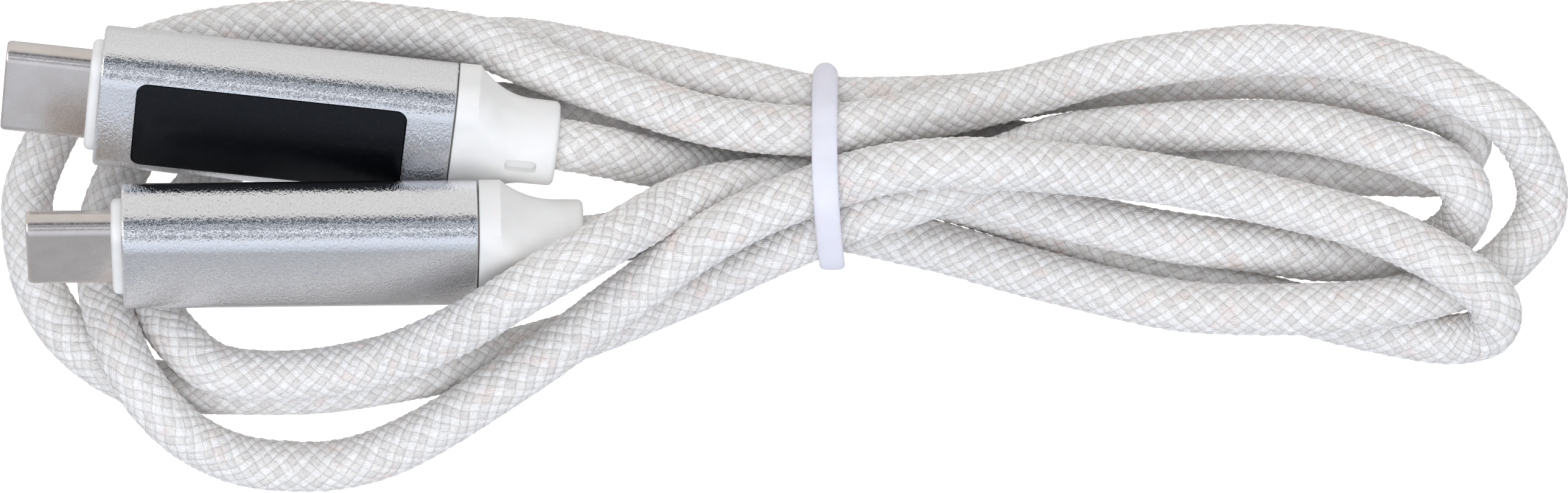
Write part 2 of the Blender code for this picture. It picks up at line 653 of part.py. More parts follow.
def tie_mesh(name):
    inner = tie_outline(CORD_DIAMETER / 2 + TIE_AIR)
    outer = tie_outline(TIE_UNDERSIDE_TO_CORD)
    half = TIE_WIDTH / 2
    mesh = loft(name, [(-half, outer), (half, outer), (half, inner), (-half, inner)], hollow=True)
    mesh.transform(Matrix.Rotation(TIE_SKEW, 4, "Z") @ Matrix.Translation((0.15 * MM, 0.0, 0.0)))
    return mesh


def make_finishes():
    return {
        "aluminium": material("aluminium", (0.72, 0.73, 0.76), 0.38, 1.0),
        "steel": material("steel", (0.62, 0.59, 0.55), 0.22, 1.0),
        "spring_steel": material("spring_steel", (0.55, 0.55, 0.56), 0.3, 1.0),
        "gold": material("gold", (0.83, 0.66, 0.30), 0.25, 1.0),
        "white_plastic": material("white_plastic", (0.86, 0.86, 0.85), 0.45),
        "white_rubber": material("white_rubber", (0.84, 0.84, 0.82), 0.55),
        "grey_plastic": material("grey_plastic", (0.45, 0.46, 0.48), 0.5),
        "black_plastic": material("black_plastic", (0.02, 0.02, 0.02), 0.4),
        "black_rubber": material("black_rubber", (0.03, 0.03, 0.03), 0.7),
        "window_glass": material("window_glass", (0.01, 0.01, 0.012), 0.08),
        "display": material("display", (0.03, 0.035, 0.04), 0.15),
        "board": material("board", (0.02, 0.16, 0.07), 0.4),
        "wire_power": material("wire_power", (0.6, 0.03, 0.03), 0.5),
        "wire_ground": material("wire_ground", (0.02, 0.02, 0.02), 0.5),
        "wire_data_plus": material("wire_data_plus", (0.03, 0.35, 0.08), 0.5),
        "wire_data_minus": material("wire_data_minus", (0.8, 0.8, 0.78), 0.5),
        "wire_control": material("wire_control", (0.04, 0.12, 0.5), 0.5),
        "braid": material("braid", (0.78, 0.77, 0.75), 0.8),
        "silicone": material("silicone", (0.80, 0.80, 0.86), 0.5),
    }


def main():
    clear_scene()
    parts = collection("usb_power_meter_cable")
    cutters = collection("cutters")
    finishes = make_finishes()

    meter = plug_frame("meter_plug_frame", METER_PLACE, parts)
    plain = plug_frame("plain_plug_frame", PLAIN_PLACE, parts)
    bpy.context.view_layer.update()
    build_plug("meter", meter, parts, cutters, finishes, has_meter=True)
    build_plug("plain", plain, parts, cutters, finishes, has_meter=False)

    route = cord_route(meter, plain)
    add("cord", round_wire("cord", route, CORD_DIAMETER), finishes["braid"], parts)
    add("tie_band", tie_mesh("tie_band"), finishes["silicone"], parts, smooth=True)


main()
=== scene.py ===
"""Looks of the tied USB-C cable with a power meter in one plug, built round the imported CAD.

Everything is in metres, in the CAD's frame: +X along the hank, +Z up, and the origin under the
tie. The plugs' visible skins, the cord's braid and the tie replace their CAD solids.
"""

from math import cos, pi, radians, sin

import bmesh
import bpy
import numpy as np
from mathutils import Euler, Matrix, Vector


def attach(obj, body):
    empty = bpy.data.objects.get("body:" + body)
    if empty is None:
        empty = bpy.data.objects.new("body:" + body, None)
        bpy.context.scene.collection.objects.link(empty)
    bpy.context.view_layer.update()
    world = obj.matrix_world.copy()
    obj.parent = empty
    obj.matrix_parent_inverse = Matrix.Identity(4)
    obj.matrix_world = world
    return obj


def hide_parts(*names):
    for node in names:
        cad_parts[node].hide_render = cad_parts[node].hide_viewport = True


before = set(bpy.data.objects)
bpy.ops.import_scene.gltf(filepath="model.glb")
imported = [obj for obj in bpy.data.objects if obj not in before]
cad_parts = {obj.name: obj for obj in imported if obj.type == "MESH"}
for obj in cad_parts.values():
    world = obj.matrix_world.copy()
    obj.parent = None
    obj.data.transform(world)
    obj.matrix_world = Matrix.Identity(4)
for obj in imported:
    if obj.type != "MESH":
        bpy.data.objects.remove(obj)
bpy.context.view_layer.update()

MM = 0.001

# The plugs' places: front end's centre, then roll, pitch and yaw, as in the CAD.
METER_PLACE = ((-58.1, 5.6, 10.42), (39.0, 4.2, -6.05))
PLAIN_PLACE = ((-56.2, -6.5, 10.6), (56.6, 3.7, 0.6))

# Plug sizes, as in the CAD.
HOUSING_LENGTH = 28.3 * MM
HOUSING = (11.7 * MM, 6.6 * MM, 2.5 * MM)
COLLAR = (9.5 * MM, 4.3 * MM, 1.5 * MM)
COLLAR_REACH = 0.85 * MM
SHELL = (8.25 * MM, 2.4 * MM)
SHELL_REACH = 6.75 * MM
WINDOW_START = 3.0 * MM
WINDOW = (21.6 * MM, 8.2 * MM, 0.9 * MM)
BOOT_SKIRT = 1.7 * MM
BOOT_FLARE = 4.2 * MM
BOOT_NECK = 2.5 * MM
NECK_RADIUS = 3.4 * MM
SLOT = (2.55 * MM, 1.15 * MM, 0.42 * MM)
SLOT_DEPTH = 0.6 * MM
FIT = 0.1 * MM
BOOT_END = HOUSING_LENGTH + FIT + BOOT_SKIRT + BOOT_FLARE + BOOT_NECK

CORD_INSERTION = 2.6 * MM
CORD_STRAIGHT = 0.6 * MM

# The braid: yarns each way round, mesh points between two crossings, and the yarns' relief.
STRANDS = 12
FINENESS = 6
VALLEY_RADIUS = 1.94 * MM
YARN_RISE = 0.16 * MM
BRAID_PITCH = 1.07 * MM

# The camera looks straight down from this place, in metres; its lens and sensor are in millimetres.
CAMERA_PLACE = (-0.00333, -0.00652, 0.62)
CAMERA_LENS = 175.06
CAMERA_SENSOR = 36.0

# The cord's route between the boots, in millimetres, as in the CAD.
CORD_RUNS = {
    "meter plug's lead, down to the tie": [
        (-17.9, 1.1, 6.9), (-14.9, 0.5, 5.5), (-10.5, -0.1, 3.7), (-6.7, -0.4, 3.0),
        (-0.9, -0.5, 2.8),
    ],
    "along the floor to the lower right fold": [
        (1.5, -0.8, 2.75), (5.3, -1.3, 2.15), (12.1, -3.0, 2.05), (19.5, -5.6, 2.05),
        (28.1, -8.7, 2.05), (46.6, -13.5, 2.05), (50.4, -14.05, 2.2), (52.2, -13.9, 2.8),
        (53.6, -13.5, 3.7), (54.2, -12.6, 4.8), (54.1, -11.5, 5.9), (53.4, -10.4, 6.8),
    ],
    "over the right side, back to the tie": [
        (50.3, -8.1, 7.6), (47.8, -6.7, 7.3), (43.3, -4.7, 6.9), (36.4, -2.95, 7.1),
        (29.0, -1.45, 8.2), (22.6, -0.6, 10.2), (12.8, 0.1, 13.6), (8.9, 0.1, 14.0),
        (5.2, -0.3, 13.3), (1.4, -1.2, 11.7),
    ],
    "down the left side": [
        (-0.9, -2.0, 11.0), (-5.7, -3.9, 10.7), (-9.6, -6.0, 10.2), (-17.4, -11.6, 7.1),
        (-21.85, -14.9, 6.2), (-26.55, -18.0, 5.4), (-31.25, -21.0, 3.6), (-35.95, -23.3, 2.3),
        (-40.1, -24.3, 2.05), (-43.8, -24.3, 2.05), (-47.25, -23.85, 2.7), (-50.85, -22.2, 4.3),
    ],
    "middle left fold": [
        (-53.4, -19.9, 5.9), (-55.65, -16.95, 6.2), (-57.0, -14.1, 5.3), (-58.0, -11.7, 3.8),
        (-58.6, -8.7, 2.4), (-58.7, -5.8, 2.05), (-58.1, -3.1, 2.05), (-55.0, 2.9, 2.05),
        (-52.8, 5.6, 2.05), (-49.9, 7.4, 2.05), (-45.7, 8.4, 2.05), (-34.3, 9.1, 2.05),
    ],
    "out along the upper left edge": [
        (-29.4, 9.8, 2.05), (-24.9, 10.0, 2.1), (-15.7, 8.3, 3.4), (-7.6, 6.7, 5.6), (-0.9, 5.3, 6.6),
    ],
    "beneath the upper right edge": [
        (1.4, 5.1, 6.6), (6.0, 5.1, 5.7), (10.0, 5.3, 4.9), (14.0, 5.6, 3.6), (18.5, 6.3, 2.5),
        (34.8, 7.5, 2.1), (39.2, 7.15, 2.4), (42.8, 6.5, 3.0), (46.0, 5.7, 3.8), (48.7, 5.0, 4.3),
    ],
    "inner right fold": [
        (50.5, 4.35, 4.6), (51.6, 3.5, 4.5), (52.0, 2.3, 4.1), (51.6, 0.9, 3.5), (50.6, -0.1, 2.9),
        (49.2, -0.5, 2.4), (47.6, -0.4, 2.15),
    ],
    "back along the floor to the tie": [
        (45.1, -0.4, 2.05), (28.1, 0.3, 2.05), (6.0, 2.8, 2.2), (1.5, 3.3, 2.8),
    ],
    "along the floor to the inner left fold": [
        (-0.9, 3.6, 2.8), (-11.6, 4.1, 2.2), (-21.6, 4.4, 2.05), (-31.4, 5.0, 2.05),
        (-40.7, 4.4, 2.05), (-43.9, 3.4, 2.05), (-46.9, 1.8, 2.05), (-52.4, -3.8, 2.05),
        (-54.0, -6.8, 2.05), (-54.6, -9.5, 2.3), (-53.8, -12.0, 3.4), (-52.0, -14.2, 4.9),
        (-49.4, -16.3, 5.9),
    ],
    "over the plain plug's boot, up to the tie": [
        (-45.2, -16.95, 6.0), (-41.0, -16.8, 6.0), (-36.7, -16.0, 6.6), (-34.0, -15.2, 7.4),
        (-29.3, -13.1, 9.9), (-24.8, -10.4, 12.6), (-20.4, -7.8, 13.8), (-18.3, -6.7, 13.3),
        (-11.5, -2.8, 8.9), (-8.6, -1.8, 7.7), (-4.7, -1.3, 7.0), (-0.9, -0.9, 6.85),
    ],
    "beneath the right side": [
        (1.4, -0.4, 6.7), (5.2, -1.0, 6.2), (13.0, -2.5, 6.15), (20.5, -4.25, 6.0),
        (27.9, -5.75, 5.3), (34.6, -6.55, 4.0), (41.0, -7.3, 2.5), (48.1, -6.7, 2.1),
    ],
    "middle right fold": [
        (50.0, -6.0, 2.5), (51.3, -4.8, 3.7), (51.8, -3.3, 5.1), (51.5, -1.8, 6.4), (50.5, -0.6, 7.1),
        (48.9, 0.3, 7.3), (40.0, 2.85, 5.2), (34.6, 3.3, 5.0), (24.2, 2.8, 6.0), (18.8, 2.0, 6.7),
        (15.8, 1.0, 7.8),
    ],
    "down to the tie": [
        (12.9, -0.2, 9.5), (9.9, -1.6, 10.2), (5.2, -3.4, 9.9), (1.4, -4.3, 8.5),
    ],
    "along the floor to the outer left fold": [
        (-0.9, -5.5, 7.2), (-4.2, -6.9, 6.1), (-12.6, -10.7, 2.9), (-17.5, -12.75, 2.1),
        (-22.0, -14.3, 2.05), (-39.2, -17.8, 2.05), (-48.5, -18.1, 2.05), (-54.1, -17.75, 2.05),
        (-56.7, -17.1, 2.05),
        (-60.55, -14.4, 2.05), (-62.45, -12.1, 2.05), (-64.05, -8.7, 2.05), (-64.7, -3.1, 2.05),
        (-64.0, -0.3, 2.05), (-60.7, 5.7, 2.1), (-58.1, 7.9, 2.5),
    ],
    "over the upper left edge": [
        (-54.7, 9.4, 3.3), (-50.2, 10.5, 4.7), (-44.6, 11.2, 5.1), (-39.1, 11.3, 5.3),
        (-27.7, 9.95, 6.1), (-23.5, 8.2, 6.1), (-16.1, 5.7, 6.7), (-9.4, 3.6, 8.0), (-0.9, 2.7, 10.0),
    ],
    "over the upper right edge": [
        (1.4, 2.9, 10.1), (9.9, 4.45, 9.0), (18.3, 6.55, 6.7), (23.2, 7.9, 6.1), (34.5, 9.3, 5.9),
        (38.9, 9.2, 6.0), (42.6, 8.8, 6.5), (49.0, 6.9, 8.2), (51.4, 5.6, 8.5), (54.0, 4.15, 7.9),
        (56.1, 2.3, 6.2), (57.5, -0.1, 4.2), (58.1, -2.6, 2.9),
    ],
    "outer right fold": [
        (57.5, -5.0, 2.2), (54.6, -8.2, 2.1), (52.6, -9.2, 2.6), (49.9, -10.05, 3.7),
        (46.3, -10.85, 5.3), (42.6, -11.35, 6.1), (33.5, -11.6, 6.0), (27.9, -11.2, 5.5),
        (16.9, -8.7, 3.8), (8.6, -6.4, 2.1), (1.5, -4.9, 2.8),
    ],
    "plain plug's lead": [
        (-0.9, -4.6, 2.8), (-8.2, -4.4, 3.1), (-11.3, -4.7, 4.3), (-14.6, -5.3, 6.3),
    ],
}

# The tie: centres of the strands at its corners, across the hank, in millimetres, as in the CAD.
TIE_CORNERS = [
    (-4.9, 2.8), (3.6, 2.8), (5.4, 6.6), (2.9, 10.2), (-1.1, 11.7), (-2.1, 11.5), (-5.6, 7.2),
]
TIE_INSIDE = 2.36 * MM
TIE_HALF_WIDTH = 1.03 * MM
TIE_THICKNESS = 0.62 * MM


def mesh_object(name, mesh, body="root", finish=None):
    item = bpy.data.objects.new(name, mesh)
    bpy.context.scene.collection.objects.link(item)
    if finish is not None:
        mesh.materials.clear()
        mesh.materials.append(finish)
    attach(item, body)
    return item


def rounded(width, height, corner, steps=12):
    points = []
    for quarter, (side, top) in enumerate(((1, 1), (-1, 1), (-1, -1), (1, -1))):
        for step in range(steps + 1):
            angle = (quarter + step / steps) * pi / 2
            points.append((
                side * (width / 2 - corner) + corner * cos(angle),
                top * (height / 2 - corner) + corner * sin(angle),
            ))
    return points


def disc(radius, steps=12):
    return rounded(2 * radius, 2 * radius, radius * 0.999, steps)


def loft(name, rings, hollow=True):
    shape = bmesh.new()
    loops = [[shape.verts.new((x, y, z)) for y, z in outline] for x, outline in rings]
    pairs = list(zip(loops, loops[1:]))
    if hollow:
        pairs.append((loops[-1], loops[0]))
    for near, far in pairs:
        for index in range(len(near)):
            after = (index + 1) % len(near)
            shape.faces.new((near[index], near[after], far[after], far[index]))
    if not hollow:
        shape.faces.new(reversed(loops[0]))
        shape.faces.new(loops[-1])
    bmesh.ops.recalc_face_normals(shape, faces=shape.faces)
    mesh = bpy.data.meshes.new(name)
    shape.to_mesh(mesh)
    shape.free()
    return mesh


def smooth(mesh, angle=30):
    mesh.shade_smooth()
    mesh.set_sharp_from_angle(angle=radians(angle))
    return mesh


def inset(section, amount):
    width, height, corner = section
    return rounded(width - 2 * amount, height - 2 * amount, max(corner - amount, 0.05 * MM))


def filleted(section, x, outward, radius, steps=4):
    """Rings that round an end's outer edge, from the wall to the end face, or back if outward is -1."""
    rings = []
    for step in range(steps + 1):
        angle = step / steps * pi / 2
        rings.append((x + outward * radius * sin(angle), inset(section, radius * (1 - cos(angle)))))
    return rings


def prism(name, outline, low, high):
    shape = bmesh.new()
    bottom = [shape.verts.new((x, y, low)) for x, y in outline]
    top = [shape.verts.new((x, y, high)) for x, y in outline]
    for index in range(len(bottom)):
        after = (index + 1) % len(bottom)
        shape.faces.new((bottom[index], bottom[after], top[after], top[index]))
    shape.faces.new(list(reversed(bottom)))
    shape.faces.new(top)
    bmesh.ops.recalc_face_normals(shape, faces=shape.faces)
    mesh = bpy.data.meshes.new(name)
    shape.to_mesh(mesh)
    shape.free()
    return mesh


def subtract(mesh, cutters):
    """The mesh with closed cutter meshes taken out of it, all in one frame."""
    item = bpy.data.objects.new("work", mesh)
    bpy.context.scene.collection.objects.link(item)
    others = []
    for cutter in cutters:
        other = bpy.data.objects.new("work_cut", cutter)
        bpy.context.scene.collection.objects.link(other)
        modifier = item.modifiers.new("cut", "BOOLEAN")
        modifier.solver = "EXACT"
        modifier.object = other
        others.append(other)
    bpy.context.view_layer.update()
    graph = bpy.context.evaluated_depsgraph_get()
    made = bpy.data.meshes.new_from_object(item.evaluated_get(graph))
    for other in [item, *others]:
        bpy.data.objects.remove(other, do_unlink=True)
    return made


def plug_matrix(place):
    (x, y, z), (roll, pitch, yaw) = place
    turn = Euler((radians(roll), radians(pitch), radians(yaw))).to_matrix().to_4x4()
    return Matrix.Translation(Vector((x, y, z)) * MM) @ turn


# ---------------------------------------------------------------- node helpers


class Nodes:
    """A short way to wire up a material's nodes."""

    def __init__(self, name):
        self.material = bpy.data.materials.new(name)
        self.material.use_nodes = True
        self.tree = self.material.node_tree
        self.shader = self.tree.nodes["Principled BSDF"]

    def put(self, socket, value):
        if hasattr(value, "is_output"):
            self.tree.links.new(value, socket)
        else:
            socket.default_value = value

    def add(self, kind, settings=None, **inputs):
        node = self.tree.nodes.new(kind)
        for key, value in (settings or {}).items():
            setattr(node, key, value)
        for key, value in inputs.items():
            self.put(node.inputs[key.replace("_", " ")], value)
        return node

    def math(self, operation, a, b=0.0, c=0.0, clamp=False):
        node = self.tree.nodes.new("ShaderNodeMath")
        node.operation = operation
        node.use_clamp = clamp
        for socket, value in zip(node.inputs, (a, b, c)):
            self.put(socket, value)
        return node.outputs[0]

    def pick(self, share, low, high):
        """low where share is 0, high where it is 1, for plain numbers."""
        node = self.tree.nodes.new("ShaderNodeMix")
        self.put(node.inputs["Factor"], share)
        self.put(node.inputs["A"], low)
        self.put(node.inputs["B"], high)
        return node.outputs["Result"]

    def blend(self, share, low, high, mode="MIX"):
        node = self.tree.nodes.new("ShaderNodeMix")
        node.data_type = "RGBA"
        node.blend_type = mode
        self.put(node.inputs[0], share)
        self.put(node.inputs[6], low if hasattr(low, "is_output") else (*low, 1.0))
        self.put(node.inputs[7], high if hasattr(high, "is_output") else (*high, 1.0))
        return node.outputs[2]

    def band(self, value, low, high, to_low=0.0, to_high=1.0):
        node = self.tree.nodes.new("ShaderNodeMapRange")
        node.interpolation_type = "SMOOTHSTEP"
        keys = ("Value", "From Min", "From Max", "To Min", "To Max")
        for key, number in zip(keys, (value, low, high, to_low, to_high)):
            self.put(node.inputs[key], number)
        return node.outputs[0]

    def object_point(self):
        return self.add("ShaderNodeTexCoord").outputs["Object"]

    def noise(self, scale, detail=2.0, roughness=0.5, vector=None):
        node = self.add("ShaderNodeTexNoise", Scale=scale, Detail=detail, Roughness=roughness)
        self.put(node.inputs["Vector"], vector if vector is not None else self.object_point())
        return node.outputs["Fac"]

    def shifted(self, point, offset):
        node = self.tree.nodes.new("ShaderNodeVectorMath")
        self.put(node.inputs[0], point)
        self.put(node.inputs[1], offset)
        return node.outputs[0]

    def bump(self, height, strength, distance, normal=None):
        node = self.add("ShaderNodeBump", Height=height, Strength=strength, Distance=distance)
        if normal is not None:
            self.put(node.inputs["Normal"], normal)
        return node.outputs["Normal"]

    def set(self, **inputs):
        for key, value in inputs.items():
            self.put(self.shader.inputs[key.replace("_", " ")], value)
        return self.material


def braid_material():
    """A braid of twisted yarns, each over two and under two. Its UV counts crossings."""
    n = Nodes("braid")
    uv = n.add("ShaderNodeUVMap", {"uv_map": "braid"}).outputs[0]
    parts = n.add("ShaderNodeSeparateXYZ", Vector=uv)
    u, v = parts.outputs[0], parts.outputs[1]
    point = n.object_point()
    wobble = n.math("MULTIPLY", n.math("SUBTRACT", n.noise(2300.0, 2.0, 0.6, point), 0.5), 0.16)
    a = n.math("ADD", n.math("ADD", u, v), wobble)
    b = n.math("ADD", n.math("SUBTRACT", u, v), wobble)
    i, j = n.math("FLOOR", a), n.math("FLOOR", b)
    fa, fb = n.math("SUBTRACT", a, i), n.math("SUBTRACT", b, j)
    total, apart = n.math("ADD", i, j), n.math("SUBTRACT", i, j)
    step = n.math("FLOORED_MODULO", total, 4.0)
    second = n.math("GREATER_THAN", step, 1.5)
    half = n.math("FLOORED_MODULO", step, 2.0)
    across = n.pick(second, fa, fb)
    along = n.math("MULTIPLY", n.math("ADD", n.pick(second, fb, fa), half), 0.5)

    # A number for each float of yarn and for each half of it, the same on both sides of the seam.
    def chance(x, y, z):
        cell = n.add("ShaderNodeCombineXYZ", X=x, Y=y, Z=z).outputs[0]
        made = n.add("ShaderNodeTexWhiteNoise", {"noise_dimensions": "3D"}, Vector=cell)
        return made.outputs["Value"]

    round_id = n.math("FLOORED_MODULO", n.math("SUBTRACT", total, half), 2.0 * STRANDS)
    along_id = n.math("ADD", apart, n.pick(second, half, n.math("MULTIPLY", half, -1.0)))
    float_chance = chance(round_id, along_id, second)
    half_chance = chance(n.math("FLOORED_MODULO", total, 2.0 * STRANDS), apart, 5.0)

    # Painted sheen: every second yarn each way is painted whiter and the others greyer, for yarns that
    # catch the light and yarns that don't; where two whiter ones cross is brightest.
    odd_i, odd_j = n.math("FLOORED_MODULO", i, 2.0), n.math("FLOORED_MODULO", j, 2.0)
    dull = n.math("MULTIPLY", odd_i, odd_j)
    bright = n.math("MULTIPLY", n.math("SUBTRACT", 1.0, odd_i), n.math("SUBTRACT", 1.0, odd_j))

    # Twisted filaments: streaks that run a little aslant of the yarn, and the ply's ridges.
    slant = n.math("MULTIPLY_ADD", along, 3.2, n.math("MULTIPLY", across, 7.0))
    streak_point = n.add(
        "ShaderNodeCombineXYZ", X=slant, Y=n.math("MULTIPLY", along, 2.6),
        Z=n.math("MULTIPLY", float_chance, 40.0),
    ).outputs[0]
    streak = n.noise(1.0, 3.0, 0.65, streak_point)
    twist = n.math("MULTIPLY_ADD", along, 14.0, n.math("MULTIPLY", streak, 9.0))
    twist = n.math("MULTIPLY_ADD", across, 27.0, twist)
    ridge = n.math("MULTIPLY_ADD", n.math("SINE", twist), 0.5, 0.5)
    fuzz = n.noise(7000.0, 3.0, 0.65, point)

    # How near the point is to the float's long edges, its ends and its middle.
    side = n.math("ABSOLUTE", n.math("MULTIPLY_ADD", across, 2.0, -1.0))
    reach = n.math("ABSOLUTE", n.math("MULTIPLY_ADD", along, 2.0, -1.0))
    edge = n.band(side, 0.74, 1.0)
    end = n.band(reach, 0.84, 1.0)
    waist = n.band(reach, 0.13, 0.0)
    gap = n.math("MAXIMUM", edge, end)

    cream, light, grey = (0.89, 0.865, 0.835), (0.90, 0.885, 0.87), (0.775, 0.75, 0.73)
    white, rose = (0.96, 0.95, 0.945), (0.87, 0.78, 0.745)
    colour = n.blend(n.band(float_chance, 0.2, 0.6), cream, light)
    colour = n.blend(n.band(half_chance, 0.45, 1.0, 0.0, 0.3), colour, grey)
    bright = n.math("MULTIPLY", bright, n.band(half_chance, 0.0, 0.6, 1.0, 0.8))
    colour = n.blend(bright, colour, white)
    dull = n.math("MULTIPLY", dull, n.band(half_chance, 0.0, 1.0, 0.4, 0.9))
    colour = n.blend(dull, colour, grey)
    blush = n.band(n.noise(420.0, 2.0, 0.5, point), 0.56, 0.68)
    blush = n.math("MULTIPLY", blush, n.band(float_chance, 0.35, 0.6, 0.75, 0.0))
    colour = n.blend(blush, colour, rose)
    # Painted shade: the gaps between floats and the dip in each float's middle are darkened.
    painted_gap_shade = n.math("MULTIPLY_ADD", gap, 0.12, n.math("MULTIPLY", waist, 0.12))
    lit = n.math("SUBTRACT", 1.0, painted_gap_shade)
    lit = n.math("MULTIPLY", lit, n.math("MULTIPLY_ADD", ridge, 0.07, 0.95))
    lit = n.math("MULTIPLY", lit, n.band(streak, 0.32, 0.68, 0.90, 1.05))
    lit = n.math("MULTIPLY", lit, n.band(fuzz, 0.30, 0.70, 0.93, 1.04))
    # The darkening is browned: in the gaps this is painted shade, for warm light bounced between the
    # yarns.
    tone = n.add(
        "ShaderNodeCombineColor", Red=lit, Green=n.math("POWER", lit, 1.10),
        Blue=n.math("POWER", lit, 1.18),
    )
    colour = n.blend(1.0, colour, tone.outputs[0], "MULTIPLY")

    height = n.math("MULTIPLY_ADD", streak, 0.55, n.math("MULTIPLY", fuzz, 0.35))
    height = n.math("SUBTRACT", height, n.math("MULTIPLY", waist, 0.35))
    height = n.math("SUBTRACT", height, n.math("MULTIPLY", gap, 0.50))
    height = n.math("MULTIPLY_ADD", ridge, 0.30, height)
    return n.set(
        Base_Color=colour, Roughness=0.7, Normal=n.bump(height, 0.8, 0.085 * MM),
        Sheen_Weight=0.12, Sheen_Roughness=0.5,
    )


def blasted_aluminium():
    """Bead-blasted and clear anodised: a fine grain of short strokes with a few pits."""
    n = Nodes("aluminium_blasted")
    point = n.object_point()
    bend = n.add("ShaderNodeTexNoise", Vector=point, Scale=3200.0, Detail=1.0).outputs["Color"]
    bent = n.add("ShaderNodeVectorMath", {"operation": "SCALE"}, Vector=bend, Scale=0.28 * MM)
    bent = n.shifted(point, bent.outputs[0])
    # The strokes run mostly round the plug, so the noise is squeezed along it.
    squeezed = n.add("ShaderNodeVectorMath", {"operation": "MULTIPLY"}, Vector=bent)
    squeezed.inputs[1].default_value = (1.7, 0.85, 0.85)
    grain = n.noise(4500.0, 1.0, 0.5, squeezed.outputs[0])
    pits = n.band(n.noise(3000.0, 1.0, 0.5, point), 0.74, 0.82)
    height = n.math("MULTIPLY_ADD", grain, 2.0, n.math("MULTIPLY", pits, -0.1))
    tint = n.blend(n.band(grain, 0.35, 0.65), (0.80, 0.80, 0.815), (0.86, 0.86, 0.875))
    return n.set(
        Base_Color=tint, Metallic=1.0, Normal=n.bump(height, 0.8, 0.030 * MM),
        Roughness=n.band(grain, 0.3, 0.7, 0.13, 0.18),
    )


def nickel():
    n = Nodes("nickel")
    point = n.object_point()
    fine = n.noise(4200.0, 3.0, 0.6, point)
    patches = n.band(n.noise(500.0, 2.0, 0.5, point), 0.3, 0.7)
    tint = n.blend(patches, (0.70, 0.645, 0.61), (0.75, 0.70, 0.67))
    return n.set(
        Base_Color=tint, Metallic=1.0, Roughness=n.band(fine, 0.3, 0.7, 0.22, 0.32),
        Normal=n.bump(fine, 0.25, 0.03 * MM),
    )


def moulded(name, colour, roughness, grain=0.06, scale=2400.0, **extra):
    n = Nodes(name)
    fine = n.noise(scale, 2.0, 0.5)
    darker = tuple(part * 0.95 for part in colour)
    tint = n.blend(n.band(n.noise(300.0, 2.0), 0.35, 0.65), colour, darker)
    return n.set(
        Base_Color=tint, Roughness=n.band(fine, 0.3, 0.7, roughness - 0.04, roughness + 0.04),
        Normal=n.bump(fine, grain, 0.05 * MM), **extra,
    )


def glass_black():
    n = Nodes("window_glass")
    dust = n.noise(2600.0, 3.0, 0.7)
    haze = n.noise(60.0, 1.0, 0.4)
    tint = n.blend(n.band(dust, 0.50, 0.85), (0.0025, 0.003, 0.0045), (0.010, 0.011, 0.014))
    return n.set(
        Base_Color=tint, Roughness=n.band(haze, 0.3, 0.7, 0.16, 0.30), Specular_IOR_Level=0.22,
        Specular_Tint=(0.9, 0.93, 1.0, 1.0), Normal=n.bump(dust, 0.05, 0.02 * MM),
    )


# ---------------------------------------------------------------- cord


def smooth_route(route, steps=24):
    knots = [2 * route[0] - route[1], *route, 2 * route[-1] - route[-2]]
    made = []
    for p0, p1, p2, p3 in zip(knots, knots[1:], knots[2:], knots[3:]):
        t1 = np.linalg.norm(p1 - p0) ** 0.5
        t2 = t1 + np.linalg.norm(p2 - p1) ** 0.5
        t3 = t2 + np.linalg.norm(p3 - p2) ** 0.5
        for t in np.linspace(t1, t2, steps, endpoint=False):
            a = p0 + (p1 - p0) * t / t1
            b = p1 + (p2 - p1) * (t - t1) / (t2 - t1)
            c = p2 + (p3 - p2) * (t - t2) / (t3 - t2)
            d = a + (b - a) * t / t2
            e = b + (c - b) * (t - t1) / (t3 - t1)
            made.append(d + (e - d) * (t - t1) / (t2 - t1))
    made.append(route[-1])
    return np.array(made)


def even(points, step):
    """The same line with points a step apart, its kinks eased over a few steps."""
    for _ in range(2):
        gaps = np.linalg.norm(np.diff(points, axis=0), axis=1)
        run = np.concatenate([[0.0], np.cumsum(gaps)])
        marks = np.linspace(0.0, run[-1], int(run[-1] / step) + 1)
        points = np.stack([np.interp(marks, run, points[:, k]) for k in range(3)], axis=1)
        for _ in range(6):
            points[1:-1] = (points[:-2] + 2 * points[1:-1] + points[2:]) / 4
    return points


def cord_line():
    inside, outside = [], []
    for place in (METER_PLACE, PLAIN_PLACE):
        matrix = plug_matrix(place)
        inside.append(np.array(matrix @ Vector((BOOT_END - CORD_INSERTION, 0.0, 0.0))))
        outside.append(np.array(matrix @ Vector((BOOT_END + CORD_STRAIGHT, 0.0, 0.0))))
    middle = [np.array(point) * MM for run in CORD_RUNS.values() for point in run]
    curve = smooth_route([outside[0], *middle, outside[1]])
    return even(np.vstack([inside[0], curve, inside[1]]), 0.3 * MM)


def carried_frames(line):
    """Two unit vectors across the line at each point, carried along it without twist."""
    ahead = np.gradient(line, axis=0)
    ahead /= np.linalg.norm(ahead, axis=1)[:, None]
    side = np.cross(ahead[0], (0.0, 0.0, 1.0))
    sides = []
    for direction in ahead:
        side = side - direction * np.dot(side, direction)
        side = side / np.linalg.norm(side)
        sides.append(side)
    sides = np.array(sides)
    return sides, np.cross(ahead, sides)


